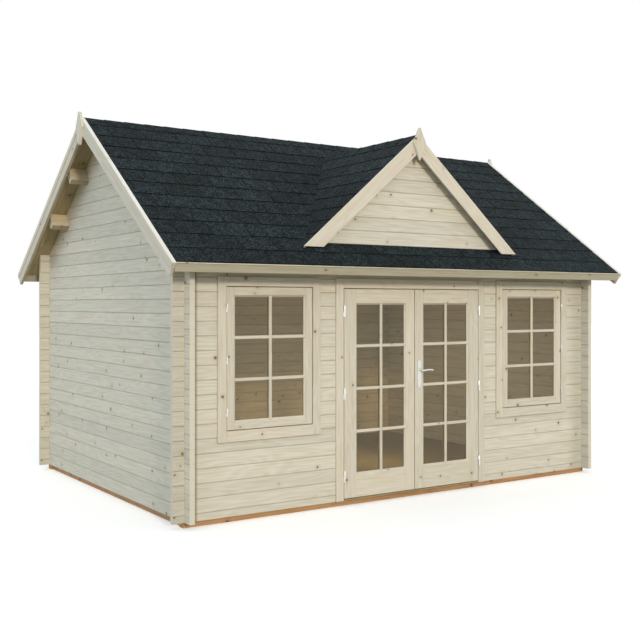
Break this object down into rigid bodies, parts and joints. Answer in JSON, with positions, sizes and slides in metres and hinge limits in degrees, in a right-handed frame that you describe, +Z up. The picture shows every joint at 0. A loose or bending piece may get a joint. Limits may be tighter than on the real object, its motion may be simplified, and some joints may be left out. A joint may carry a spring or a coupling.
{
  "type": "garden house",
  "caption": "Log garden house with a shingled gable roof, a boarded front dormer, glazed double doors that swing outwards and a casement window on each side of them.",
  "frame": {"origin": "centre of the whole object's footprint, on the ground plane under the bearers", "axes": "+Z up, the front with the doors faces -Y, +X to the right seen from the front, ridge along X"},
  "size_m": [5.004, 3.8206, 3.4257],
  "materials": {
    "wall_logs": "planed softwood logs with a pale cream wash",
    "trim_wood": "planed softwood boards with a pale cream wash",
    "raw_wood": "untreated planed softwood",
    "bearer_wood": "pressure treated softwood",
    "shingle": "bitumen shingles with dark blue grey stone granules",
    "window_glass": "clear float glass",
    "hardware": "satin zinc plated steel"
  },
  "bodies": {
    "house": {"long_bearers": "bearer_wood", "side_bearers": "bearer_wood", "floor_joists": "bearer_wood", "floor_deck": "raw_wood", "front_wall_left": "wall_logs", "front_wall_right": "wall_logs", "front_wall_top": "wall_logs", "back_wall": "wall_logs", "left_wall": "wall_logs", "right_wall": "wall_logs", "front_purlins": "raw_wood", "rear_purlins": "raw_wood", "front_roof_deck": "raw_wood", "rear_roof_deck": "raw_wood", "front_shingles": "shingle", "rear_shingles": "shingle", "front_fascia": "trim_wood", "rear_fascia": "trim_wood", "left_front_barge": "trim_wood", "left_rear_barge": "trim_wood", "right_front_barge": "trim_wood", "right_rear_barge": "trim_wood", "left_finial": "trim_wood", "right_finial": "trim_wood", "dormer_gable": "wall_logs", "dormer_deck_left": "raw_wood", "dormer_deck_right": "raw_wood", "dormer_shingles_left": "shingle", "dormer_shingles_right": "shingle", "dormer_barge_left": "trim_wood", "dormer_barge_right": "trim_wood", "dormer_finial": "trim_wood", "door_frame": "trim_wood", "door_threshold": "raw_wood", "door_hinge_pins": "hardware", "left_window_frame": "trim_wood", "left_window_sash": "trim_wood", "left_window_glass": "window_glass", "right_window_frame": "trim_wood", "right_window_sash": "trim_wood", "right_window_glass": "window_glass"},
    "left_leaf": {"left_door": "trim_wood", "left_door_glass": "window_glass", "left_door_hinges": "hardware"},
    "right_leaf": {"right_door": "trim_wood", "right_door_glass": "window_glass", "right_door_hinges": "hardware", "handle_plate": "hardware"},
    "lever": {"door_lever": "hardware"}
  },
  "joints": [
    {"name": "left_door_swing", "type": "hinge", "parent": "house", "child": "left_leaf", "pos_m": [-0.77025, -1.6545, 0.95], "axis": [0, 0, -1], "range_deg": [0, 110]},
    {"name": "right_door_swing", "type": "hinge", "parent": "house", "child": "right_leaf", "pos_m": [0.77025, -1.6545, 0.95], "axis": [0, 0, 1], "range_deg": [0, 110]},
    {"name": "lever_turn", "type": "hinge", "parent": "right_leaf", "child": "lever", "pos_m": [0.0515, -1.67, 1.1255], "axis": [0, 1, 0], "range_deg": [0, 40], "stiffness_Nm_per_rad": 2}
  ]
}
